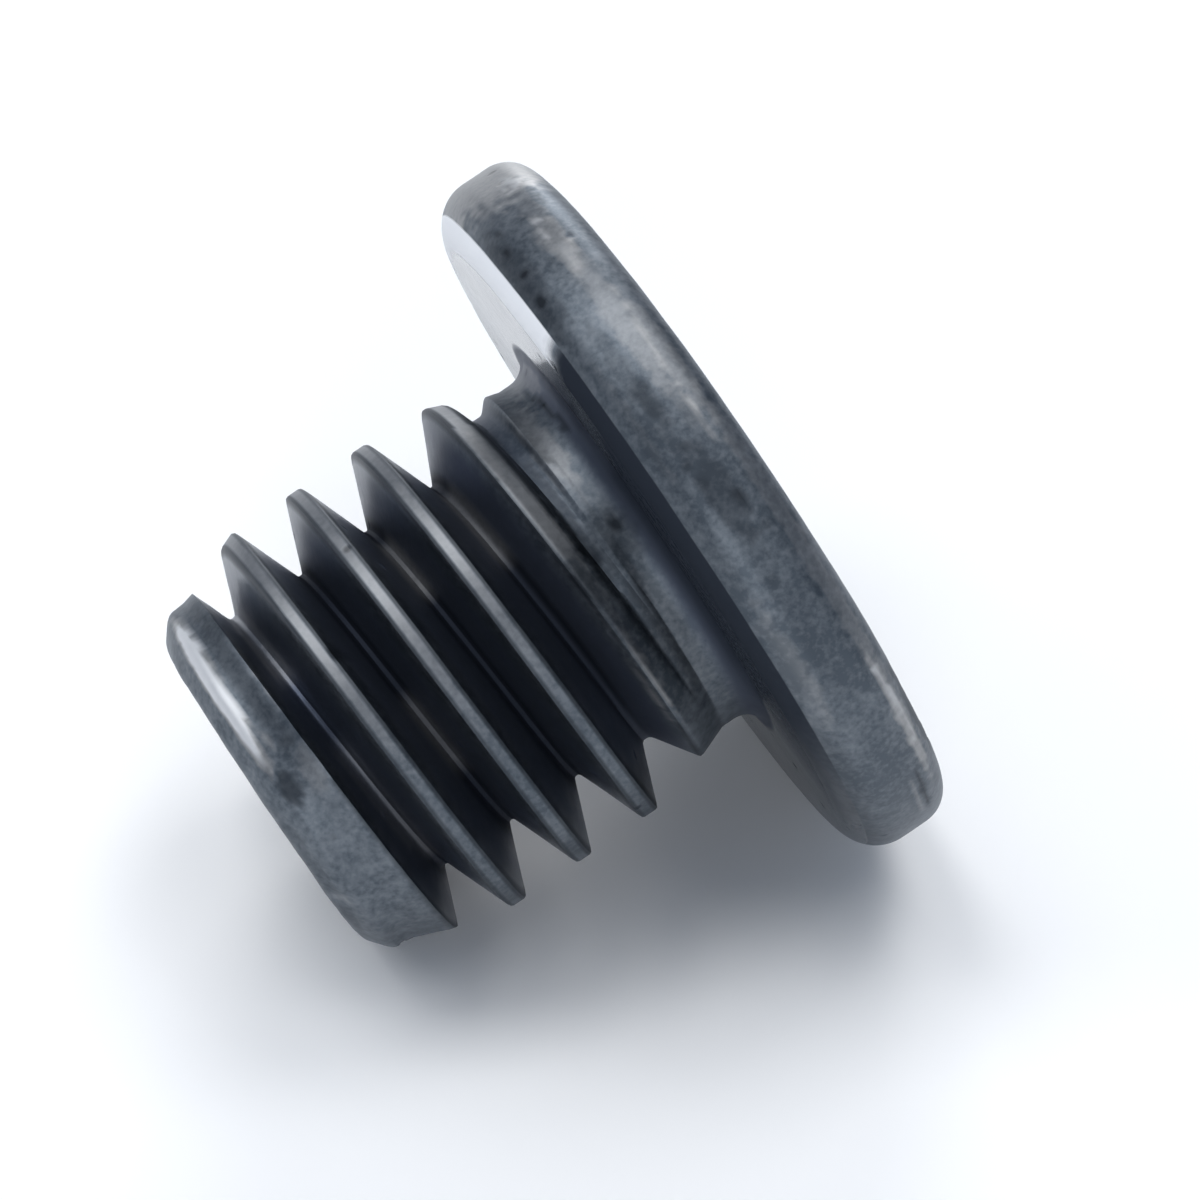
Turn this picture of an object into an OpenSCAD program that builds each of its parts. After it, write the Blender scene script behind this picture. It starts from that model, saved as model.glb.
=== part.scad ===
// Drive mounting screw, M3 x 0.5 x 3, with a thin wide head and a cross recess.
// One cold headed and thread rolled piece of plated steel. Units are millimetres.
// The screw is built upright on its axis, tip at zero, and then laid on its side.

/* [Head] */
// Outer diameter of the head
head_d = 5; // [4.6:0.1:6]
// Thickness of the head at its rim
head_t = 0.7; // [0.64:0.02:1]
// Rounding of the rim on the side of the shank
rim_round_under = 0.3; // [0.2:0.02:0.32]
// Rounding of the rim on the outer side
rim_round_outer = 0.22; // [0.1:0.02:0.26]
// Radius of the fillet between the neck and the head
neck_fillet = 0.22; // [0.22:0.02:0.26]

/* [Shank] */
// Length from the underside of the head to the end of the tip
shank_l = 2.9; // [2.8:0.05:5]
// Diameter of the plain neck under the head
neck_d = 2.56; // [2.56:0.02:2.7]
// Diameter of the flat end of the tip
tip_d = 2.22; // [2:0.02:2.24]
// Length of the edge break round the flat end
tip_edge = 0.13; // [0.08:0.01:0.14]
// Radial size of the edge break
tip_edge_r = 0.17; // [0.08:0.01:0.18]
// Distance from the end of the tip over which the shank keeps nearly the size of the tip
nose_l = 0.28; // [0.2:0.02:0.36]
// Radial rise of the shank over that distance
nose_rise = 0.01; // [0.005:0.005:0.03]
// Distance from the end of the tip to the first full diameter
lead_l = 0.75; // [0.65:0.05:1]

/* [Thread] */
// Diameter over the crests
thread_d = 2.96; // [2.9:0.02:3]
// Distance from one crest to the next
pitch = 0.5; // [0.48:0.01:0.52]
// Depth from the crest to the root
thread_depth = 0.46; // [0.3:0.01:0.48]
// Width of the flat on the crest
crest_land = 0.11; // [0.06:0.01:0.12]
// Width of the flat at the root
root_land = 0.04; // [0.03:0.01:0.06]
// Angle round the axis at which the groove starts at the tip
thread_turn = 265; // [0:1:359]
// Distance from the end of the tip to the start of the groove
lead_gap = 0.15; // [0.15:0.01:0.3]
// Length at the tip over which the groove grows to its full depth
lead_fade = 0.33; // [0.2:0.01:0.5]
// Length at the head over which the groove runs out
runout_l = 0.56; // [0.4:0.02:0.7]
// Distance from the underside of the head to the end of the groove
runout_gap = 0.22; // [0.22:0.01:0.4]
// Length over which the shank tapers from the crests to the neck
crest_fade = 0.5; // [0.4:0.02:0.6]
// Amount by which the root of the groove widens as it runs out
root_spread = 0.08; // [0.04:0.01:0.1]
// Growth of the flank towards the head, as a share of its width for each millimetre of run-out
flank_spread = 2.2; // [1.6:0.1:2.4]

/* [Cross recess] */
// Width over the wings at the outer face
recess_d = 2.5; // [2.2:0.05:2.8]
// Width of one wing
recess_w = 0.5; // [0.4:0.02:0.6]
// Depth to the foot of the wings
recess_depth = 0.8; // [0.6:0.02:0.9]
// Half angle of the cone on which the wings end
recess_angle = 26.5; // [20:0.5:30]
// Diameter of the round core between the wings
recess_core_d = 1.1; // [0.9:0.02:1.2]

/* [Hidden] */

// Steps per turn of the helical groove, and of the round surfaces
turn_steps = 40;
round_steps = 72;
rim_steps = 24;

// Clearance by which the groove cutter stands proud of the crests
cutter_proud = 0.02;
// Overlap of cutters through the faces they open
through = 0.1;

head_r = head_d / 2;
neck_r = neck_d / 2;
tip_r = tip_d / 2;
edge_r = tip_r + tip_edge_r;
crest_r = thread_d / 2;
root_r = crest_r - thread_depth;
total_l = shank_l + head_t;

// Half of the flank angle follows from the pitch, the flats and the depth
flank_w = (pitch - crest_land - root_land) / 2;
flank_slope = flank_w / thread_depth;

// Stations along the axis
neck_s = shank_l - neck_fillet;
fade_s = neck_s - 0.03;
full_s = fade_s - crest_fade;
groove_start = lead_gap;
groove_end = shank_l - runout_gap;
groove_turns = (groove_end - groove_start) / pitch;
groove_steps = ceil(groove_turns * turn_steps);

// The root of the groove moves outward at both ends until it leaves the metal
function lead_k(s) = max(0, min(1, (groove_start + lead_fade - s) / lead_fade));
function run_k(s) = max(0, min(1, (s - groove_end + runout_l) / runout_l));
function groove_r(s) = root_r + max(lead_k(s) * (edge_r + 0.06 - root_r), run_k(s) * (neck_r + 0.06 - root_r));

// In its last turns the root widens towards the tip, and the flank towards the head lies flatter
flat_start = groove_end - 1.65 * pitch;
function tip_foot(s) = s - root_land / 2 - root_spread * run_k(s);
function head_foot(s) = s + root_land / 2;
function head_slope(s) = flank_slope * (1 + flank_spread * max(0, s - flat_start));

// Radius just over the shank at which a flank that starts at x0 and r0 with slope m leaves it
fall = (crest_r - neck_r) / crest_fade;
function flank_r(x0, r0, m) = (crest_r - (x0 - m * r0 - full_s) * fall) / (1 + m * fall);
function proud_r(x0, r0, m) = max(neck_r, min(crest_r, flank_r(x0, r0, m))) + cutter_proud;
function tip_side_r(s) = max(groove_r(s) + 0.01, proud_r(tip_foot(s), groove_r(s), -flank_slope));
function head_side_r(s) = max(groove_r(s) + 0.01, proud_r(head_foot(s), groove_r(s), head_slope(s)));
function tip_side_s(s) = tip_foot(s) - (tip_side_r(s) - groove_r(s)) * flank_slope;
function head_side_s(s) = head_foot(s) + (head_side_r(s) - groove_r(s)) * head_slope(s);

// One cross-section of the groove cutter, from the root to just over the crests
function groove_s(i) = groove_start + (groove_end - groove_start) * i / groove_steps;
function groove_a(i) = thread_turn + 360 * (groove_s(i) - groove_start) / pitch;
function place(i, r, s) = [r * cos(groove_a(i)), r * sin(groove_a(i)), s];
function section(i) = [
    place(i, groove_r(groove_s(i)), tip_foot(groove_s(i))),
    place(i, tip_side_r(groove_s(i)), tip_side_s(groove_s(i))),
    place(i, crest_r + 2 * cutter_proud, tip_side_s(groove_s(i))),
    place(i, crest_r + 2 * cutter_proud, head_side_s(groove_s(i))),
    place(i, head_side_r(groove_s(i)), head_side_s(groove_s(i))),
    place(i, groove_r(groove_s(i)), head_foot(groove_s(i)))
];

// Angle at which the screw rests on its rim and on the edge of its tip
rest_rise = head_r - rim_round_under - edge_r;
rest_run = shank_l + rim_round_under - tip_edge;
rest_a = asin(rim_round_under / norm([rest_rise, rest_run])) + atan(rest_rise / rest_run);
rest_lift = edge_r * cos(rest_a) - tip_edge * sin(rest_a);
rest_left = -tip_r * sin(rest_a);
rest_right = (total_l - rim_round_outer) * cos(rest_a) + (head_r - rim_round_outer) * sin(rest_a) + rim_round_outer;

// Head, with a rounded rim on both sides
module head_blank() {
    side_l = head_t - rim_round_under - rim_round_outer;
    translate([0, 0, shank_l])
    rotate_extrude($fn = round_steps)
    union() {
        square([head_r - rim_round_outer, head_t]);
        square([head_r - rim_round_under, head_t / 2]);
        translate([0, rim_round_under])
        square([head_r, side_l]);
        translate([head_r - rim_round_under, rim_round_under])
        circle(r = rim_round_under, $fn = rim_steps);
        translate([head_r - rim_round_outer, head_t - rim_round_outer])
        circle(r = rim_round_outer, $fn = rim_steps);
    }
}

// Fillet from the neck out to the bearing face of the head
module neck_root() {
    translate([0, 0, shank_l])
    rotate_extrude($fn = round_steps)
    difference() {
        translate([0, -neck_fillet])
        square([neck_r + neck_fillet, neck_fillet + head_t / 2]);
        translate([neck_r + neck_fillet, -neck_fillet])
        circle(r = neck_fillet, $fn = rim_steps);
    }
}

// Turned form of the shank before the thread is rolled
module shank_blank() {
    rotate_extrude($fn = round_steps)
    polygon([
        [0, 0],
        [tip_r, 0],
        [edge_r, tip_edge],
        [edge_r + nose_rise, nose_l],
        [crest_r, lead_l],
        [crest_r, full_s],
        [neck_r, fade_s],
        [neck_r, shank_l + head_t / 2],
        [0, shank_l + head_t / 2]
    ]);
}

// Order in which a section of the cutter is fanned into triangles at its two ends
cap_order = [5, 0, 1, 2, 3, 4];

// Helical groove between the crests
module groove_cutter() {
    n = 6;
    end = n * groove_steps;
    points = [for (i = [0 : groove_steps]) each section(i)];
    sides = [for (i = [0 : groove_steps - 1]) for (k = [0 : n - 1]) for (h = [0, 1])
        h == 0
        ? [n * i + k, n * i + n + (k + 1) % n, n * i + n + k]
        : [n * i + k, n * i + (k + 1) % n, n * i + n + (k + 1) % n]];
    caps = [for (k = [0 : 3]) for (h = [0, 1])
        h == 0
        ? [cap_order[0], cap_order[k + 2], cap_order[k + 1]]
        : [end + cap_order[0], end + cap_order[k + 1], end + cap_order[k + 2]]];
    polyhedron(points = points, faces = concat(sides, caps), convexity = 10);
}

// Cross recess: two slots that end on a cone, round a tapered core
module recess_cutter() {
    top_s = total_l;
    foot_r = recess_d / 2 - recess_depth * tan(recess_angle);
    over_r = recess_d / 2 + through * tan(recess_angle);
    translate([0, 0, top_s - recess_depth])
    union() {
        intersection() {
            cylinder(r1 = foot_r, r2 = over_r, h = recess_depth + through, $fn = round_steps);
            union() {
                translate([-recess_d, -recess_w / 2, -through])
                cube([2 * recess_d, recess_w, recess_depth + 3 * through]);
                translate([-recess_w / 2, -recess_d, -through])
                cube([recess_w, 2 * recess_d, recess_depth + 3 * through]);
            }
        }
        cylinder(d1 = recess_core_d * 0.8, d2 = recess_core_d, h = recess_depth + through, $fn = 36);
        translate([0, 0, -0.14])
        cylinder(d1 = 0.1, d2 = recess_core_d * 0.8, h = 0.14, $fn = 36);
    }
}

// The whole screw, laid on its side as it comes to rest
module screw() {
    color([0.32, 0.34, 0.37])
    translate([-(rest_left + rest_right) / 2, 0, rest_lift])
    rotate([0, 90 - rest_a, 0])
    difference() {
        union() {
            head_blank();
            neck_root();
            shank_blank();
        }
        groove_cutter();
        recess_cutter();
    }
}

screw();
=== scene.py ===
"""Dark plated drive screw, lying on its rim and the edge of its tip, on a pale table."""

import math

import bmesh
import bpy
from mathutils import Matrix, Vector, noise


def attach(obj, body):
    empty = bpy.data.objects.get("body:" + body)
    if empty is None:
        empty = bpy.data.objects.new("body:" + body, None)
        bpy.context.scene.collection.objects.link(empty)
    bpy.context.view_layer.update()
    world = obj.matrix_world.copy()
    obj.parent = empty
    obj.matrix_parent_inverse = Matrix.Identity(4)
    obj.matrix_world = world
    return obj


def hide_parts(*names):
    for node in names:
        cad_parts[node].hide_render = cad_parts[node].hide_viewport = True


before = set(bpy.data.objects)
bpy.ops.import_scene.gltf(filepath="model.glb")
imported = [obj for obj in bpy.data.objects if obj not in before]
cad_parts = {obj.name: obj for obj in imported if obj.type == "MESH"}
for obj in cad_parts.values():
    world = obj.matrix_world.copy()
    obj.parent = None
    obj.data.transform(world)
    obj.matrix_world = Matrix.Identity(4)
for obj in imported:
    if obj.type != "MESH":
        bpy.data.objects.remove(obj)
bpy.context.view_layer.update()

MM = 0.001

# Sizes of the screw in millimetres, as its solid has them; s runs along the axis from the tip.
# Only the fillet of the neck is drawn tighter than in the solid, with the radius FILLET_R.
HEAD_R = 2.5
HEAD_T = 0.7
RIM_UNDER = 0.3
RIM_OUTER = 0.22
NECK_FILLET = 0.22
FILLET_R = 0.16
SHANK_L = 2.9
NECK_R = 1.28
TIP_R = 1.11
TIP_EDGE = 0.13
EDGE_R = 1.28
NOSE_L = 0.28
NOSE_RISE = 0.01
LEAD_L = 0.75
CREST_R = 1.48
PITCH = 0.5
THREAD_DEPTH = 0.46
CREST_LAND = 0.11
ROOT_LAND = 0.04
THREAD_TURN = math.radians(265)
LEAD_GAP = 0.15
LEAD_FADE = 0.33
RUNOUT_L = 0.56
RUNOUT_GAP = 0.22
CREST_FADE = 0.5
ROOT_SPREAD = 0.08
FLANK_SPREAD = 2.2
RECESS_R = 1.25
RECESS_W = 0.5
RECESS_DEPTH = 0.8
RECESS_SLOPE = math.tan(math.radians(26.5))
CORE_TOP = 0.538
CORE_FOOT = 0.44
PIT_R = 0.05
PIT_DEPTH = 0.14

ROOT_R = CREST_R - THREAD_DEPTH
TOTAL_L = SHANK_L + HEAD_T
NECK_S = SHANK_L - NECK_FILLET
FADE_S = NECK_S - 0.03
FULL_S = FADE_S - CREST_FADE
GROOVE_END = SHANK_L - RUNOUT_GAP
FLANK_SLOPE = (PITCH - CREST_LAND - ROOT_LAND) / 2 / THREAD_DEPTH
FLAT_START = GROOVE_END - 1.65 * PITCH

# The screw lies at the angle at which its rim and the edge of its tip both touch the table.
REST_RISE = HEAD_R - RIM_UNDER - EDGE_R
REST_RUN = SHANK_L + RIM_UNDER - TIP_EDGE
REST_A = math.asin(RIM_UNDER / math.hypot(REST_RISE, REST_RUN)) + math.atan2(REST_RISE, REST_RUN)
REST_LIFT = EDGE_R * math.cos(REST_A) - TIP_EDGE * math.sin(REST_A)
REST_LEFT = -TIP_R * math.sin(REST_A)
REST_RIGHT = (
    (TOTAL_L - RIM_OUTER) * math.cos(REST_A)
    + (HEAD_R - RIM_OUTER) * math.sin(REST_A)
    + RIM_OUTER
)


def laid_down(p):
    """A point of the upright screw, in millimetres, to its place on the table in metres."""
    ca, sa = math.cos(REST_A), math.sin(REST_A)
    return Vector(
        (
            (p[2] * ca + p[0] * sa - (REST_LEFT + REST_RIGHT) / 2) * MM,
            p[1] * MM,
            (p[2] * sa - p[0] * ca + REST_LIFT) * MM,
        )
    )


def between(x, stops):
    """Straight interpolation through a list of (position, value) stops."""
    if x <= stops[0][0]:
        return stops[0][1]
    for (x0, y0), (x1, y1) in zip(stops, stops[1:]):
        if x <= x1:
            return y0 + (y1 - y0) * (x - x0) / (x1 - x0)
    return stops[-1][1]


def soft_min(a, b, width):
    """The lower of two heights, with the corner between them rounded over a width."""
    h = max(0.0, min(1.0, 0.5 + 0.5 * (b - a) / width))
    return b + (a - b) * h - width * h * (1 - h)


# ---------------------------------------------------------------- thread

# Turned form of the shank under the thread, as (s, radius).
BLANK = [
    (TIP_EDGE, EDGE_R),
    (NOSE_L, EDGE_R + NOSE_RISE),
    (LEAD_L, CREST_R),
    (FULL_S, CREST_R),
    (FADE_S, NECK_R),
]
TURN_STEPS = 200
CREST_ROUND = 0.03
ROOT_ROUND = 0.03
# Where the points of a flank and of half a crest lie, as shares of their width.
GROOVE_SHARES = [0.06, 0.12, 0.2, 0.32, 0.46, 0.6, 0.74, 0.86, 0.94, 1.0]
LAND_SHARES = [0.3, 0.6]
# The groove starts and ends this far outside the metal, and past its ends its root lies at NO_GROOVE_R.
GROOVE_CLEAR = 0.06
NO_GROOVE_R = CREST_R + 0.05
# Past the ends of the groove its corners stay at this offset; elsewhere they are sought from the second.
IDLE_CORNER = 0.1
FIRST_CORNER = 0.2
CORNER_ROUNDS = 6
LEAST_HEIGHT = 0.02
# The rounded edge of the tip reaches this far up the shank, and the skins are joined across small gaps.
EDGE_EASE = 0.045
SEAM = 0.004


def blank_r(s):
    """Radius of the shank before the thread is rolled."""
    return between(s, BLANK)


def share(x):
    """A value held between nothing and all."""
    return max(0.0, min(1.0, x))


def run_out(s):
    """How far the groove has run out towards the head, from none to all."""
    return share((s - GROOVE_END + RUNOUT_L) / RUNOUT_L)


def groove_floor(s):
    """Radius of the groove's root where its middle passes s; outside the metal past both ends."""
    lead = share((LEAD_GAP + LEAD_FADE - s) / LEAD_FADE) * (EDGE_R + GROOVE_CLEAR - ROOT_R)
    run = run_out(s) * (NECK_R + GROOVE_CLEAR - ROOT_R)
    return ROOT_R + max(lead, run)


def foot(middle, side):
    """Offset from the groove's middle to the foot of its flank; the tip side is negative."""
    return ROOT_LAND / 2 if side > 0 else -ROOT_LAND / 2 - ROOT_SPREAD * run_out(middle)


def slope(middle, side):
    """Width of the flank for each millimetre of its height; it grows on the head's side alone."""
    if side < 0:
        return FLANK_SLOPE
    return FLANK_SLOPE * (1 + FLANK_SPREAD * max(0.0, middle - FLAT_START))


def cuts(middle):
    """Whether the groove is there at all where its middle passes this place."""
    return LEAD_GAP <= middle <= GROOVE_END


def thread_r(middle, d):
    """Radius of the threaded shank at an offset d along the axis from the groove's middle."""
    side = 1 if d > 0 else -1
    flank = (d - foot(middle, side)) * side / slope(middle, side)
    rounded = -soft_min(-flank, 0.0, ROOT_ROUND)
    root = groove_floor(middle) if cuts(middle) else NO_GROOVE_R
    return soft_min(root + rounded, blank_r(middle + d), CREST_ROUND)


def corner(middle, side):
    """Offset from the groove's middle to the edge of the crest beside it."""
    if not cuts(middle):
        return side * IDLE_CORNER
    d = side * FIRST_CORNER
    for _ in range(CORNER_ROUNDS):
        height = max(LEAST_HEIGHT, blank_r(middle + d) - groove_floor(middle))
        d = foot(middle, side) + side * height * slope(middle, side)
    return d


def crest_middle(middle):
    """Offset from this groove's middle to the middle of the crest between it and the next turn."""
    return (corner(middle, 1) + PITCH + corner(middle + PITCH, -1)) / 2


def thread_offsets(middle):
    """Offsets of one row of points, from the crest before this groove to the crest after it."""
    low, high = corner(middle, -1), corner(middle, 1)
    first = crest_middle(middle - PITCH) - PITCH
    last = crest_middle(middle)
    row = [first]
    row += [low + (first - low) * k for k in reversed(LAND_SHARES)]
    row += [low * k for k in reversed(GROOVE_SHARES)]
    row += [0.0]
    row += [high * k for k in GROOVE_SHARES]
    row += [high + (last - high) * k for k in LAND_SHARES]
    return row


# Painted highlights along the root of the groove: from and to round the axis in degrees, s, tone.
ROOT_PAINTED_HIGHLIGHTS = [
    (134, 197, 0.62, 0.5),
    (218, 287, 0.67, 0.25),
    (218, 258, 1.17, 0.3),
    (160, 200, 1.58, 0.5),
    (155, 206, 2.05, 0.4),
]
STREAK_HALF_W = 0.05
STREAK_FADE = 8
# How far the crest is rubbed round the axis, as (degrees, share); it is highest on the side that faces
# up towards the camera, which paints a sheen there.
CREST_RUB_AND_SHEEN = [(60, 0.3), (150, 0.8), (205, 0.8), (245, 0.25), (330, 0.2)]
# The crests count as rubbed from the middle of the lead to a little before the neck.
RUB_START = LEAD_L * 0.6
RUB_END = FADE_S - 0.2
# Depths below the crest in millimetres: of its bright skin, where a highlight is painted, of its rub,
# and where the root starts.
PAINTED_HIGHLIGHT_SKIN = 0.03
RUB_SKIN = 0.06
ROOT_STARTS = 0.42
CORNER_HALF_W = 0.02
CORNER_TONE = -0.8
LEAD_RUB = 0.1


def root_highlight_tone(angle, middle):
    """Tone of the painted highlight on the groove's root at one place along it."""
    turn = math.degrees(angle) % 360
    tone = 0.0
    for start, stop, s, light in ROOT_PAINTED_HIGHLIGHTS:
        if abs(middle - s) < PITCH / 2:
            tone += light * share((turn - start) / STREAK_FADE) * share((stop - turn) / STREAK_FADE)
    return tone


def thread_marks(angle, middle, d, r):
    """Values of the marks at one point of the threaded shank."""
    s = middle + d
    below = blank_r(s) - r
    rub = between(math.degrees(angle) % 360, CREST_RUB_AND_SHEEN)
    on_crest = RUB_START < s < RUB_END
    tone = root_highlight_tone(angle, middle) if abs(d) < STREAK_HALF_W else 0.0
    if on_crest:
        # Painted highlight on the crest's outer skin, strongest where the crest is most rubbed.
        tone += 0.8 * share(rub - 0.3) * share(1 - below / PAINTED_HIGHLIGHT_SKIN)
        if abs(d - corner(middle, 1 if d > 0 else -1)) < CORNER_HALF_W:
            tone = CORNER_TONE
    rolled = share(below / 0.05) * share((ROOT_STARTS - below) / 0.1) * share((FULL_S + 0.1 - s) / 0.2)
    return {
        "deep": share(below / THREAD_DEPTH),
        "rubbed": rub * share(1 - below / RUB_SKIN) if on_crest else LEAD_RUB,
        "tone": tone,
        "smooth": 0.4 * rolled - 0.4 * share((below - ROOT_STARTS) / 0.03),
    }


def add_point(bm, marks, angle, r, s, values):
    """One point of the upright screw, with the values of its marks."""
    v = bm.verts.new((r * math.cos(angle), r * math.sin(angle), s))
    for name, value in values.items():
        v[marks[name]] = value
    return v


def add_thread(bm, marks):
    """One long ribbon that follows the groove from below the tip to above the neck."""
    first_s = -PITCH
    last_s = SHANK_L + PITCH
    steps = math.ceil((last_s - first_s) / PITCH * TURN_STEPS)
    rows = []
    for i in range(steps + 1):
        middle = first_s + PITCH * i / TURN_STEPS
        angle = THREAD_TURN + 2 * math.pi * (middle - LEAD_GAP) / PITCH
        row = []
        for d in thread_offsets(middle):
            r = thread_r(middle, d)
            row.append(add_point(bm, marks, angle, r, middle + d, thread_marks(angle, middle, d, r)))
        rows.append(row)
    for i in range(steps):
        a, b = rows[i], rows[i + 1]
        for k in range(len(a) - 1):
            bm.faces.new((a[k], b[k], b[k + 1], a[k + 1]))
        if i + 1 + TURN_STEPS <= steps:
            c, d = rows[i + TURN_STEPS], rows[i + 1 + TURN_STEPS]
            bm.faces.new((a[-1], b[-1], d[0], c[0]))
    for s, keep_above in ((TIP_EDGE + EDGE_EASE + 2 * SEAM, True), (NECK_S - 2 * SEAM, False)):
        bmesh.ops.bisect_plane(
            bm,
            geom=bm.verts[:] + bm.edges[:] + bm.faces[:],
            plane_co=(0, 0, s),
            plane_no=(0, 0, 1),
            clear_inner=keep_above,
            clear_outer=not keep_above,
        )


# ---------------------------------------------------------------- head and tip

# Points on each side of the cross recess, and along the rounded edges of the rim.
SIDE_COLUMNS = 24
ARC_STEPS = 16
# Rounding of the lip of the recess, and the ring of the outer face that is left round it.
LIP = 0.03
FACE_END_R = RECESS_R + 0.12


def cross_ring(grow, depth):
    """(angle, radius) round the cross recess at a depth, grown outward by a margin."""
    end = RECESS_R - depth * RECESS_SLOPE + grow
    side = RECESS_W / 2 + grow
    core = CORE_TOP + (CORE_FOOT - CORE_TOP) * depth / RECESS_DEPTH + grow
    at_end = math.asin(side / end)
    at_core = math.asin(min(1.0, side / core))
    stops = [-math.pi / 4, -at_core, -at_end, at_end, at_core, math.pi / 4]
    ring = []
    for wing in range(4):
        for part, (a0, a1) in enumerate(zip(stops, stops[1:])):
            for k in range(SIDE_COLUMNS):
                a = a0 + (a1 - a0) * k / SIDE_COLUMNS
                if part in (0, 4):
                    r = core
                elif part == 2:
                    r = end
                else:
                    r = side / abs(math.sin(a)) if abs(a) > 1e-6 else end
                ring.append((a + wing * math.pi / 2, r))
    return ring


def arc(middle_r, middle_s, radius, start, stop, steps):
    """Points of a rounded corner in the lathe profile, from start to stop in degrees."""
    points = []
    for k in range(steps + 1):
        a = math.radians(start + (stop - start) * k / steps)
        points.append((middle_r + radius * math.cos(a), middle_s + radius * math.sin(a)))
    return points


def spread(a, b, steps):
    """Points between two corners of the profile, without either of them."""
    return [
        (a[0] + (b[0] - a[0]) * k / steps, a[1] + (b[1] - a[1]) * k / steps)
        for k in range(1, steps)
    ]


def bend(start, corner_point, stop, steps):
    """Points of a smooth bend from start to stop that leans towards a corner."""
    points = []
    for k in range(steps + 1):
        u = k / steps
        shares = ((1 - u) ** 2, 2 * u * (1 - u), u * u)
        near = tuple(zip(shares, (start, corner_point, stop)))
        points.append((sum(w * p[0] for w, p in near), sum(w * p[1] for w, p in near)))
    return points


def add_ring(bm, marks, points, s, **values):
    """A closed ring of points at one height, with the values of its marks."""
    return [add_point(bm, marks, a, r, s, values) for a, r in points]


def join_rings(bm, rings):
    """The skin between rings of as many points."""
    for low, high in zip(rings, rings[1:]):
        for k in range(len(low)):
            n = (k + 1) % len(low)
            bm.faces.new((low[k], low[n], high[n], high[k]))


# The seat is the bearing face and the start of its rounded edge, up to this turn of the rounding.
SEAT_END = -48
# Tones of the edge and the face of the seat round the axis: a painted reflection above zero, painted
# shade far below it.
SEAT_EDGE_LIGHT = [
    (98, -0.3),
    (124, 1.0),
    (188, 1.0),
    (193, -1.0),
    (258, -0.9),
    (272, -0.5),
    (300, -0.3),
    (458, -0.3),
]
SEAT_FACE_LIGHT = [
    (98, -0.3),
    (130, 0.4),
    (172, 0.4),
    (206, -1.0),
    (262, -0.9),
    (300, -0.4),
    (330, -0.3),
    (458, -0.3),
]
# The highest tone of the painted reflection on the seat, the seat's smoothness, and the tone where
# painted shade starts.
SEAT_TONE = 0.4
SEAT_SMOOTH = 0.8
PAINTED_SHADE_STARTS = -0.3


def seat_painted_light(angle, r, stops):
    """Tone of the seat at one place: a painted reflection where bright, painted shade where dark, with a
    ragged border.
    """
    ragged = noise.noise(Vector((4 * math.cos(angle), 4 * math.sin(angle), 3 * r)))
    turn = math.degrees(angle) % 360 + 3 * ragged
    return between(turn + 360 if turn < stops[0][0] else turn, stops)


def seat_painted_shade(bright):
    """Share of painted shade at a place of the seat with this tone."""
    return share((PAINTED_SHADE_STARTS - bright) / (1 + PAINTED_SHADE_STARTS))


def neck_marks(angle, r, along):
    """Values of the marks on the neck and its fillet, with painted shade that grows towards the seat."""
    painted_shade = seat_painted_shade(seat_painted_light(angle, r, SEAT_FACE_LIGHT))
    return {
        "deep": 0.75 * share(along * 1.6 - 0.3),
        "tone": -0.15 * share(along * 2),
        "bare": -painted_shade * share(along * 3 - 1.2),
    }


def seat_face_marks(angle, r, along):
    """Values of the marks on the bearing face, burnished all round, with a painted reflection on one
    side and painted shade on the next.
    """
    bright = seat_painted_light(angle, r, SEAT_FACE_LIGHT)
    return {"tone": min(SEAT_TONE, bright), "smooth": SEAT_SMOOTH, "bare": -seat_painted_shade(bright)}


def seat_edge_marks(angle, r, along):
    """Values of the marks on the edge of the seat, with a painted reflection on one side and painted
    shade on the next.
    """
    bright = seat_painted_light(angle, r, SEAT_EDGE_LIGHT)
    bare = bright if bright > 0 else -seat_painted_shade(bright)
    return {"tone": min(SEAT_TONE, bright), "smooth": share(1 + bright), "bare": bare}


def under_marks(angle, r, along):
    """Values of the marks on the rounding past the seat, with painted shade near it."""
    return {"tone": -0.2 * share((0.6 - along) * 3)}


def no_marks(angle, r, along):
    """Nothing but the rub of the whole part."""
    return {}


def head_parts():
    """The lathe profile of the head in parts: points, rub and the marks on each."""
    neck = [(NECK_R, NECK_S), (NECK_R, NECK_S + 0.03)]
    neck += arc(NECK_R + FILLET_R, SHANK_L - FILLET_R, FILLET_R, 180, 90, 8)
    under_middle = (HEAD_R - RIM_UNDER, SHANK_L + RIM_UNDER, RIM_UNDER)
    seat_edge = arc(*under_middle, -90, SEAT_END, 8)
    under = arc(*under_middle, SEAT_END + 2, 0, ARC_STEPS)
    outer = arc(HEAD_R - RIM_OUTER, TOTAL_L - RIM_OUTER, RIM_OUTER, 0, 90, ARC_STEPS)
    return [
        (neck, 0.0, neck_marks),
        (spread(neck[-1], seat_edge[0], 14), 0.0, seat_face_marks),
        (seat_edge, 0.0, seat_edge_marks),
        (under, 0.1, under_marks),
        (spread(under[-1], outer[0], 6), 0.1, no_marks),
        (outer, 0.3, no_marks),
        (spread(outer[-1], (FACE_END_R, TOTAL_L), 12), 0.2, no_marks),
    ]


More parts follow.
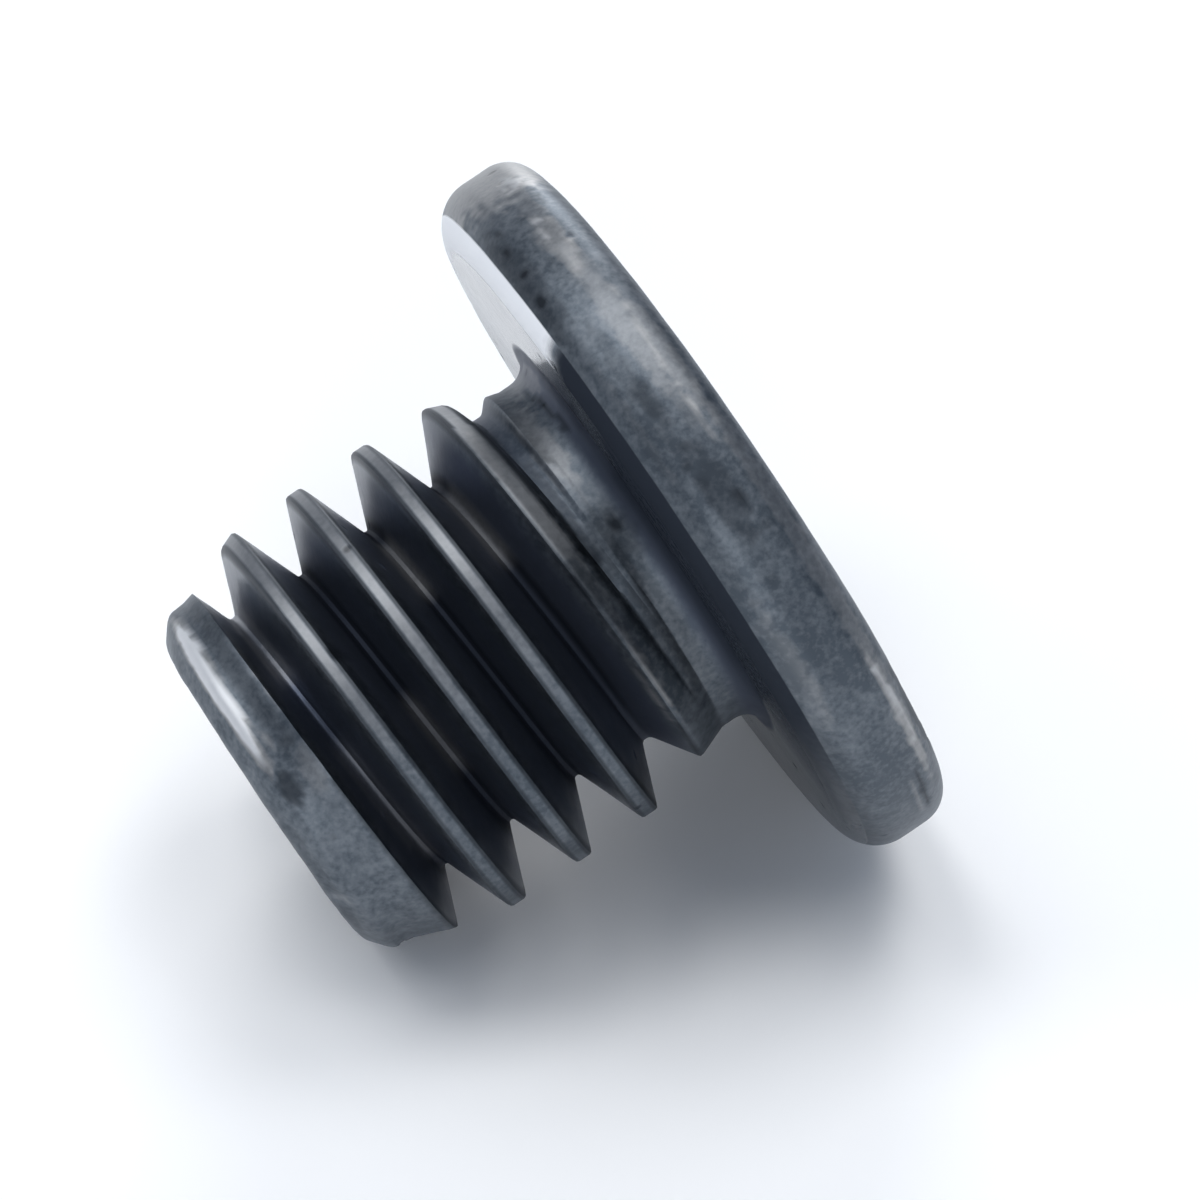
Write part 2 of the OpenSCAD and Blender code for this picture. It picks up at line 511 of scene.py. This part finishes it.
def recess_rings(bm, marks):
    """Rings of the cross recess: outer face round it, rounded lip, tapered walls, floor and pit."""
    rings = []
    for part in (0.25, 0.5, 0.75):
        points = [(a, FACE_END_R * (1 - part) + r * part) for a, r in cross_ring(LIP, 0.0)]
        rings.append(add_ring(bm, marks, points, TOTAL_L, rubbed=0.2))
    for turn in (0, 30, 60, 90):
        a = math.radians(turn)
        points = cross_ring(LIP * (1 - math.sin(a)), 0.0)
        rings.append(add_ring(bm, marks, points, TOTAL_L - LIP * (1 - math.cos(a)), rubbed=0.75))
    # The walls, floor and pit carry a depth value, which paints shade that darkens them downwards.
    for part in (0.15, 0.3, 0.5, 0.75, 0.97, 1.0):
        depth = LIP + (RECESS_DEPTH - LIP) * part
        points = cross_ring(0.0, depth)
        rings.append(add_ring(bm, marks, points, TOTAL_L - depth, deep=0.4 + 0.5 * part))
    floor = cross_ring(0.0, RECESS_DEPTH)
    half_way = ((CORE_FOOT + PIT_R) / 2, PIT_DEPTH / 2)
    for r, drop in ((CORE_FOOT, 0.0), (CORE_FOOT * 0.98, 0.0), half_way, (PIT_R, PIT_DEPTH)):
        points = [(a, min(r, was)) for a, was in floor]
        rings.append(add_ring(bm, marks, points, TOTAL_L - RECESS_DEPTH - drop, deep=0.9))
    return rings


def add_head(bm, marks):
    """Neck fillet, bearing face, rounded rim, outer face and cross recess as one skin."""
    angles = [a for a, _ in cross_ring(LIP, 0.0)]
    rings = []
    for points, rub, marks_at in head_parts():
        for k, (r, s) in enumerate(points):
            along = k / (len(points) - 1)
            ring = []
            for a in angles:
                values = {"rubbed": rub, **marks_at(a, r, along)}
                ring.append(add_point(bm, marks, a, r, s, values))
            rings.append(ring)
    rings += recess_rings(bm, marks)
    join_rings(bm, rings)
    bm.faces.new(rings[-1])


# How far the eased corners of the tip reach along its flat end and along its slanted edge.
TIP_EASE = 0.06
SLANT_EASE = 0.05
SLANT_END = 0.08


def add_tip(bm, marks):
    """Flat end of the tip and the edge break round it, with both its corners eased."""
    angles = [2 * math.pi * k / TURN_STEPS for k in range(TURN_STEPS)]
    slant = math.atan2(TIP_EDGE, EDGE_R - TIP_R)
    along_r, along_s = math.cos(slant), math.sin(slant)
    flat = [(r, 0.0) for r in (0.12, 0.4, 0.7, 0.9, TIP_R - 1.5 * TIP_EASE)]
    first = (TIP_R + SLANT_EASE * along_r, SLANT_EASE * along_s)
    eased = bend((TIP_R - TIP_EASE, 0.0), (TIP_R, 0.0), first, 8)
    low = (EDGE_R - SLANT_END * along_r, TIP_EDGE - SLANT_END * along_s)
    high = (blank_r(TIP_EDGE + EDGE_EASE), TIP_EDGE + EDGE_EASE)
    outer = bend(low, (EDGE_R, TIP_EDGE), high, 10)
    middle = spread(eased[-1], low, 5)
    rings = []
    for part, rub in ((flat, 0.0), (eased, 0.2), (middle, 0.1), (outer, 0.1)):
        for r, s in part:
            rings.append(add_ring(bm, marks, [(a, r) for a in angles], s, rubbed=rub))
    join_rings(bm, rings)
    bm.faces.new(list(reversed(rings[0])))


def open_edges(bm, s, reach):
    """Edges with one face that lie near one height."""
    return [e for e in bm.edges if e.is_boundary and all(abs(v.co.z - s) < reach for v in e.verts)]


# ---------------------------------------------------------------- wear, dents and painted light and shade in the form

# Marks: degrees round the axis, s, half length round the axis, half width along it, tone, depth.
# A tone above zero is lighter than the plating and one below zero is darker. On the rim the light
# marks are painted highlights and the dark ones partly painted shade, partly smudges and dents.
RIM_DENTS_AND_PAINTED_LIGHT = [
    (146, 3.3, 0.66, 0.42, 1.0, 0.0),
    (193, 3.37, 0.7, 0.08, 0.4, 0.0),
    (177, 3.35, 0.3, 0.08, 0.7, 0.0),
    (163, 3.37, 0.4, 0.07, 0.3, 0.0),
    (202, 3.47, 0.5, 0.06, 0.4, 0.0),
    (238, 3.5, 1.3, 0.05, 0.4, 0.0),
    (205, 3.2, 0.6, 0.06, -0.35, 0.0),
    (222, 3.27, 0.34, 0.1, -0.55, 0.0),
    (250, 3.05, 0.5, 0.08, 0.3, 0.0),
    (172, 3.33, 0.12, 0.03, 0.4, 0.0),
    (164, 3.44, 0.16, 0.035, -0.4, 0.0),
    (178, 3.06, 0.55, 0.09, -0.45, 0.0),
    (208, 3.04, 0.5, 0.06, 0.2, 0.0),
    (167, 3.107, 0.035, 0.035, -0.8, 0.006),
    (172, 3.074, 0.04, 0.03, -0.8, 0.006),
    (178, 3.074, 0.035, 0.03, -0.9, 0.006),
    (184, 3.053, 0.06, 0.035, -0.9, 0.006),
    (179, 3.27, 0.05, 0.04, -0.5, 0.004),
    (177, 3.44, 0.03, 0.03, -0.6, 0.004),
    (207, 3.22, 0.16, 0.06, -0.45, 0.003),
    (211, 3.41, 0.22, 0.025, 0.4, 0.0),
    (224, 3.35, 0.07, 0.045, -0.55, 0.004),
    (229, 3.38, 0.05, 0.04, -0.5, 0.004),
    (236, 3.25, 0.05, 0.03, -0.4, 0.003),
    (268, 3.48, 0.62, 0.035, 0.9, 0.0),
    (270, 3.58, 0.45, 0.03, -0.7, 0.006),
    (286, 3.40, 0.28, 0.02, -0.8, 0.006),
    (286, 3.355, 0.25, 0.02, 0.4, 0.0),
]
# On the neck, the last crest, the groove's end, the tip's edge and its lead: painted highlights, the
# brightest one on the tip's edge also a painted reflection, and dark marks that are partly painted
# shade, partly dents.
SHANK_DENTS_AND_PAINTED_LIGHT = [
    (181, 2.65, 0.42, 0.09, 0.5, 0.0),
    (204, 2.5, 0.5, 0.05, -0.6, 0.0),
    (217, 2.66, 0.2, 0.17, -0.45, 0.0),
    (150, 2.8, 0.35, 0.1, 0.5, 0.0),
    (245, 2.66, 0.6, 0.12, 0.12, 0.0),
    (158, 2.78, 0.1, 0.02, -0.8, 0.003),
    (165, 2.79, 0.1, 0.02, -0.8, 0.003),
    (172, 2.805, 0.1, 0.02, -0.8, 0.003),
    (180, 2.82, 0.1, 0.02, -0.8, 0.003),
    (215, 2.46, 0.06, 0.04, -0.9, 0.006),
    (214, 2.73, 0.06, 0.04, -0.9, 0.006),
    (222, 2.38, 0.16, 0.06, -0.8, 0.0),
    (255, 2.38, 0.42, 0.04, 0.9, 0.0),
    (178, 2.325, 0.3, 0.03, 0.35, 0.0),
    (203, 0.9, 0.05, 0.05, -0.9, 0.003),
    (184, 0.155, 0.73, 0.056, 1.65, 0.0),
    (186, 0.33, 0.7, 0.08, -0.45, 0.0),
    (190, 0.405, 0.45, 0.02, 0.5, 0.0),
    (224, 0.2, 0.12, 0.065, -0.9, 0.004),
    (210, 0.26, 0.08, 0.05, 0.6, 0.0),
    (222, 0.37, 0.16, 0.07, 0.35, 0.0),
    (213, 0.363, 0.05, 0.05, -0.9, 0.003),
    (258, 0.03, 0.6, 0.05, -0.3, 0.0),
    (264, 0.058, 0.07, 0.045, 0.5, 0.008),
]


# The rim lies outside RIM_FROM_R, and the shank inside SHANK_TO_R and below the seat.
RIM_FROM_R = 2.1
SHANK_TO_R = 1.6
SHANK_TO_S = NECK_S + 0.2
# Radii between which the marks of the tip fade in, so that its flat end stays even.
TIP_FADE = (0.8, 0.3)
SMALL_MARK = 0.1
# Depths in millimetres of the forming: skin, slow waves, fine waves, and the rough start of the thread.
SKIN = 0.0035
SLOW_WAVE = 0.0035
FINE_WAVE = 0.0012
ROUGH_LEAD = 0.004


def marks_near(p, radius):
    """The list of marks that can lie at this point."""
    if radius > RIM_FROM_R:
        return RIM_DENTS_AND_PAINTED_LIGHT
    if radius < SHANK_TO_R and p.z < SHANK_TO_S:
        return SHANK_DENTS_AND_PAINTED_LIGHT
    return []


def marked(p, radius, ragged):
    """Tone and depth of the marks at one point of the upright screw."""
    tone = depth = 0.0
    turn = math.degrees(math.atan2(p.y, p.x))
    for at, s, long, wide, light, deep in marks_near(p, radius):
        across = math.radians((turn - at + 180) % 360 - 180) * radius / long
        along = (p.z - s) / wide
        if abs(across) < 1.5 and abs(along) < 1.5:
            frayed = ragged * (0.3 if light > 1 else 1.0)
            border = 0.9 if long < SMALL_MARK else 0.4
            inside = share((1.2 - math.hypot(across, along) + frayed) / border)
            tone += light * inside
            depth += deep * inside
    kept = share((radius - TIP_FADE[0]) / TIP_FADE[1])
    return tone * kept, depth * kept


def form_dents_and_painted_light(bm, marks):
    """Slow waves from forming, finer unevenness on the lead of the thread, dents, and marks of painted
    highlights, reflections and shade.
    """
    bm.normal_update()
    moves = []
    for v in bm.verts:
        p = v.co
        radius = math.hypot(p.x, p.y)
        slow = noise.noise(p * 2.1 + Vector((3.1, 7.7, 1.3)))
        fine = noise.noise(p * 7.0 + Vector((9.2, 2.4, 5.5)))
        ragged = noise.noise(p * 14.0 + Vector((1.2, 4.4, 8.5)))
        tone, depth = marked(p, radius, 0.45 * ragged)
        tone += v[marks["tone"]]
        v[marks["tone"]] = min(1.0, tone)
        # A tone above 1 also paints a reflection.
        if tone > 1:
            v[marks["bare"]] = max(v[marks["bare"]], tone - 1)
        lead = share((LEAD_L - p.z) / 0.5) if radius < SHANK_TO_R else 0.0
        amount = -SKIN - SLOW_WAVE * slow - FINE_WAVE * fine - lead * ROUGH_LEAD * (1 + fine) - depth
        moves.append((v, v.normal * amount))
    for v, move in moves:
        v.co += move


# Values kept at each point: rub, with a painted sheen on the crests; depth in the thread, which also
# paints shade there, in the recess and at the neck; lighter or darker, mostly painted highlights and
# painted shade among real marks; smoother or rougher; a painted reflection above zero and painted
# shade below it.
MARK_NAMES = ("rubbed", "deep", "tone", "smooth", "bare")
SHARP_FROM = math.radians(38)


def screw_mesh():
    """The whole screw as one closed mesh, laid down on the table."""
    bm = bmesh.new()
    for name in MARK_NAMES:
        bm.verts.layers.float.new(name)
    marks = {name: bm.verts.layers.float[name] for name in MARK_NAMES}
    add_thread(bm, marks)
    add_tip(bm, marks)
    add_head(bm, marks)
    for s in (TIP_EDGE + EDGE_EASE + SEAM, NECK_S - SEAM):
        bmesh.ops.bridge_loops(bm, edges=open_edges(bm, s, 2.25 * SEAM))
    bmesh.ops.recalc_face_normals(bm, faces=bm.faces[:])
    form_dents_and_painted_light(bm, marks)
    for v in bm.verts:
        v.co = laid_down(v.co)
    mesh = bpy.data.meshes.new("screw_body")
    bm.to_mesh(mesh)
    bm.free()
    for polygon in mesh.polygons:
        polygon.use_smooth = True
    mesh.set_sharp_from_angle(angle=SHARP_FROM)
    return mesh


# ---------------------------------------------------------------- finishes


class Sock:
    """A value in a material: maths on it adds Math nodes."""

    def __init__(self, maker, socket):
        self.maker = maker
        self.socket = socket

    def maths(self, operation, *values):
        return self.maker.node("ShaderNodeMath", {"operation": operation}, dict(enumerate(values)))

    def __add__(self, other):
        return self.maths("ADD", self, other)

    def __sub__(self, other):
        return self.maths("SUBTRACT", self, other)

    def __mul__(self, other):
        return self.maths("MULTIPLY", self, other)

    def __rsub__(self, other):
        return self.maths("SUBTRACT", other, self)

    __radd__ = __add__
    __rmul__ = __mul__


class Finish:
    """One material and the nodes in it."""

    def __init__(self, name):
        self.material = bpy.data.materials.new(name)
        self.material.use_nodes = True
        self.tree = self.material.node_tree
        self.tree.nodes.clear()

    def node(self, kind, settings=None, values=None, out=0):
        """Any node: its type, its settings, and the values or links of its sockets."""
        made = self.tree.nodes.new(kind)
        for name, value in (settings or {}).items():
            if name == "stops":
                ramp = made.color_ramp
                while len(ramp.elements) > len(value):
                    ramp.elements.remove(ramp.elements[-1])
                while len(ramp.elements) < len(value):
                    ramp.elements.new(1.0)
                for element, (place, shade) in zip(ramp.elements, value):
                    element.position = place
                    element.color = (shade, shade, shade, 1)
            else:
                setattr(made, name, value)
        for name, value in (values or {}).items():
            if isinstance(value, Sock):
                self.tree.links.new(value.socket, made.inputs[name])
            else:
                made.inputs[name].default_value = value
        return Sock(self, made.outputs[out]) if out is not None else None

    def mix(self, factor, a, b):
        """A colour between two colours."""
        made = self.node("ShaderNodeMix", {"data_type": "RGBA"}, {0: factor}, out=2)
        for slot, value in ((6, a), (7, b)):
            if isinstance(value, Sock):
                self.tree.links.new(value.socket, made.socket.node.inputs[slot])
            else:
                made.socket.node.inputs[slot].default_value = (*value, 1)
        return made

    def clouds(self, place, scale, detail, rough, seed):
        """Cloudy noise, with the scale in spots to a millimetre."""
        shift = (seed, -seed, seed * 0.5)
        shifted = self.node("ShaderNodeVectorMath", {"operation": "ADD"}, {0: place, 1: shift})
        values = {"Vector": shifted, "Scale": scale, "Detail": detail, "Roughness": rough}
        return self.node("ShaderNodeTexNoise", {"noise_dimensions": "3D"}, values)

    def surface(self, kind, values):
        """The shader that ends the material."""
        self.node("ShaderNodeOutputMaterial", {}, {"Surface": self.node(kind, {}, values)}, out=None)

    def rise(self, value, start, stop):
        """None below the start and all above the stop, straight between them."""
        stops = [(0.0, 0.0), (start, 0.0), (stop, 1.0), (1.0, 1.0)]
        return self.node("ShaderNodeValToRGB", {"stops": stops}, {0: value})

    def above_zero(self, value):
        """The part of a value that lies above zero."""
        return value.maths("MAXIMUM", value, 0.0)


# Colours of the plating, of its marks and of the painted light and shade, each where nothing else is
# mixed in.
PLATE_DARK = (0.081, 0.097, 0.116)
PLATE_LIGHT = (0.168, 0.188, 0.211)
PLATE_WORN_AND_SHEEN = (0.22, 0.23, 0.245)
PIT_SHADE = (0.035, 0.04, 0.048)
DEPTH_SHADE_BLACK = (0.075, 0.088, 0.12)
ROOT_SHADE_BLACK = (0.02, 0.024, 0.034)
RUB_AND_HIGHLIGHT_PALE = (0.385, 0.383, 0.38)
STAIN_AND_SHADE = (0.03, 0.035, 0.043)
PAINTED_REFLECTION_PALE = (0.8, 0.815, 0.84)
PAINTED_SHADE_BLACK = (0.022, 0.027, 0.037)


def dark_plating():
    """Dark plated steel: mottled, lighter where rubbed and where a sheen is painted on the crests,
    finely pitted; black in the thread as painted shade, with painted highlights, reflections and shade
    from the marks.
    """
    f = Finish("dark_plated_steel")
    spot = f.node("ShaderNodeTexCoord", out=3)
    place = f.node("ShaderNodeVectorMath", {"operation": "SCALE"}, {0: spot, "Scale": 1 / MM})
    rubbed, deep, tone, smooth, bare = (
        f.node("ShaderNodeAttribute", {"attribute_name": name}, out=2) for name in MARK_NAMES
    )
    broad = f.clouds(place, 1.6, 4.0, 0.55, 11.0)
    fine = f.clouds(place, 9.0, 5.0, 0.6, 4.0)
    grain = f.clouds(place, 26.0, 2.0, 0.5, 7.0)
    crowd = f.clouds(place, 1.3, 2.0, 0.5, 31.0)
    speck = f.node("ShaderNodeTexVoronoi", {"feature": "F1"}, {"Vector": place, "Scale": 3.2})

    pits = (1 - f.rise(speck, 0.06, 0.13)) * f.rise(crowd, 0.5, 0.6)
    mottle = f.rise(broad * 0.36 + fine * 0.34 + grain * 0.3, 0.42, 0.6)
    worn_and_sheen = f.rise(rubbed * 0.75 + fine * 0.3 + grain * 0.25, 0.5, 0.95)
    # Painted shade: the thread, the recess and the neck grow black with depth, blackest at the root.
    depth_shade = f.rise(deep, 0.06, 0.4)
    root = f.rise(deep, 0.8, 0.93)
    # Where the tone is above zero: mostly painted highlights and reflections, and some rubbed marks.
    light = f.above_zero(tone) * (grain * 0.6 + 0.7)
    # Where the tone is below zero: painted shade, and some stains.
    shade_and_stain = f.above_zero(0 - tone)
    # Painted reflection above zero, painted shade below it.
    painted_reflection = f.above_zero(bare)
    painted_shade = f.above_zero(0 - bare)

    plating = f.mix(mottle, PLATE_DARK, PLATE_LIGHT)
    # Lighter where rubbed, and on the crests a painted sheen.
    plating = f.mix(worn_and_sheen * 0.7, plating, PLATE_WORN_AND_SHEEN)
    plating = f.mix(pits * 0.8, plating, PIT_SHADE)
    # Painted shade deep in the thread, the recess and the neck, and darker still at the root.
    plating = f.mix(depth_shade * 0.95, plating, DEPTH_SHADE_BLACK)
    plating = f.mix(root * 0.9, plating, ROOT_SHADE_BLACK)
    # Pale painted highlights, with some rub.
    plating = f.mix(light * 0.7, plating, RUB_AND_HIGHLIGHT_PALE)
    # Darker marks: painted shade and stains.
    plating = f.mix(shade_and_stain * 0.8, plating, STAIN_AND_SHADE)
    # Painted reflection on the seat and the tip's edge, then painted shade by the seat and the neck.
    plating = f.mix(painted_reflection, plating, PAINTED_REFLECTION_PALE)
    plating = f.mix(painted_shade, plating, PAINTED_SHADE_BLACK)
    roughness = 0.4 + fine * 0.12 + grain * 0.08 + pits * 0.25 + shade_and_stain * 0.1 - smooth * 0.4
    metallic = 1 - painted_reflection * 0.8 - depth_shade * 0.14 - painted_shade * 0.9
    height = fine * 0.6 + broad * 0.5 + grain * 0.15 - pits * 0.9
    bump = f.node("ShaderNodeBump", {}, {"Strength": 0.35, "Distance": 0.008 * MM, "Height": height})
    f.surface(
        "ShaderNodeBsdfPrincipled",
        {
            "Base Color": plating,
            "Roughness": roughness,
            "Metallic": metallic,
            "Normal": bump,
            "Specular IOR Level": 0.0,
        },
    )
    return f.material


def table_finish():
    """Matt white card."""
    f = Finish("pale_table")
    f.surface("ShaderNodeBsdfDiffuse", {"Color": (0.99, 0.99, 0.99, 1)})
    return f.material


# ---------------------------------------------------------------- scene


def placed(name, mesh, material):
    """A mesh in the scene, with its finish."""
    thing = bpy.data.objects.new(name, mesh)
    bpy.context.collection.objects.link(thing)
    mesh.materials.append(material)
    return thing


screw = placed("screw_body", screw_mesh(), dark_plating())
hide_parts("screw")
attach(screw, "root")

# Half the width of the table, in metres.
TABLE = 0.6
table_mesh = bpy.data.meshes.new("table")
corners = [(-TABLE, -TABLE, 0), (TABLE, -TABLE, 0), (TABLE, TABLE, 0), (-TABLE, TABLE, 0)]
table_mesh.from_pydata(corners, [], [(0, 1, 2, 3)])
table = placed("table", table_mesh, table_finish())

# The camera looks from this direction and distance at a point a little beside the screw's middle,
# and its focal length is CAMERA_FOCUS sensor widths.
CAMERA_AZ = math.radians(-26.693)
CAMERA_EL = math.radians(42.797)
CAMERA_AWAY = 27.7 * MM
CAMERA_FOCUS = 3.6668
AIM_HEIGHT = 2.3 * MM
AIM_RIGHT = 0.4399 * MM
AIM_UP = -0.2045 * MM
SENSOR_W = 36

away = Vector((-math.sin(CAMERA_AZ), math.cos(CAMERA_AZ), 0))
right = Vector((math.cos(CAMERA_AZ), math.sin(CAMERA_AZ), 0))
above_all = Vector((0, 0, 1))
back = above_all * math.sin(CAMERA_EL) - away * math.cos(CAMERA_EL)
up = back.cross(right)

# Distance of the lamps and the width of each, in metres.
LIGHT_AWAY = 0.3
LIGHT_SIZE = 0.12


def softbox(name, above, turn, watts):
    """A square lamp on a dome round the screw, placed as the camera sees it."""
    light = bpy.data.lights.new(name, "AREA")
    light.shape = "SQUARE"
    light.size = LIGHT_SIZE
    light.energy = watts
    lamp = bpy.data.objects.new(name, light)
    bpy.context.collection.objects.link(lamp)
    level = away * math.cos(turn) + right * math.sin(turn)
    outward = level * math.cos(above) + above_all * math.sin(above)
    lamp.location = outward * LIGHT_AWAY
    lamp.rotation_euler = (-outward).to_track_quat("-Z", "Y").to_euler()


LIGHTS = [
    # name, degrees above the table, degrees round from behind towards the camera's right, watts
    ("back_low", 20, 0, 0.3954),
    ("front_low", 20, 180, 0.2022),
    ("left_side", 45, 270, 0.1168),
    ("top_left", 70, 270, 0.2561),
    ("top_back_left", 70, 315, 0.04493),
    ("top_back_right", 70, 45, 0.1797),
    ("top_front_right", 70, 135, 0.1034),
]
for name, above, turn, watts in LIGHTS:
    softbox(name, math.radians(above), math.radians(turn), watts)

world = bpy.data.worlds.new("studio")
bpy.context.scene.world = world
world.use_nodes = True
sky = world.node_tree.nodes["Background"]
sky.inputs[0].default_value = (0.82, 1.0, 1.3, 1)
sky.inputs[1].default_value = 0.212

aim = above_all * AIM_HEIGHT + right * AIM_RIGHT + up * AIM_UP
lens = bpy.data.cameras.new("camera")
lens.sensor_width = SENSOR_W
lens.lens = SENSOR_W * CAMERA_FOCUS
lens.clip_start = 0.001
lens.clip_end = 10
camera = bpy.data.objects.new("camera", lens)
bpy.context.collection.objects.link(camera)
turned = Matrix((right, up, back)).transposed().to_4x4()
camera.matrix_world = Matrix.Translation(aim + back * CAMERA_AWAY) @ turned
bpy.context.scene.camera = camera

bpy.context.scene.view_settings.view_transform = "Standard"
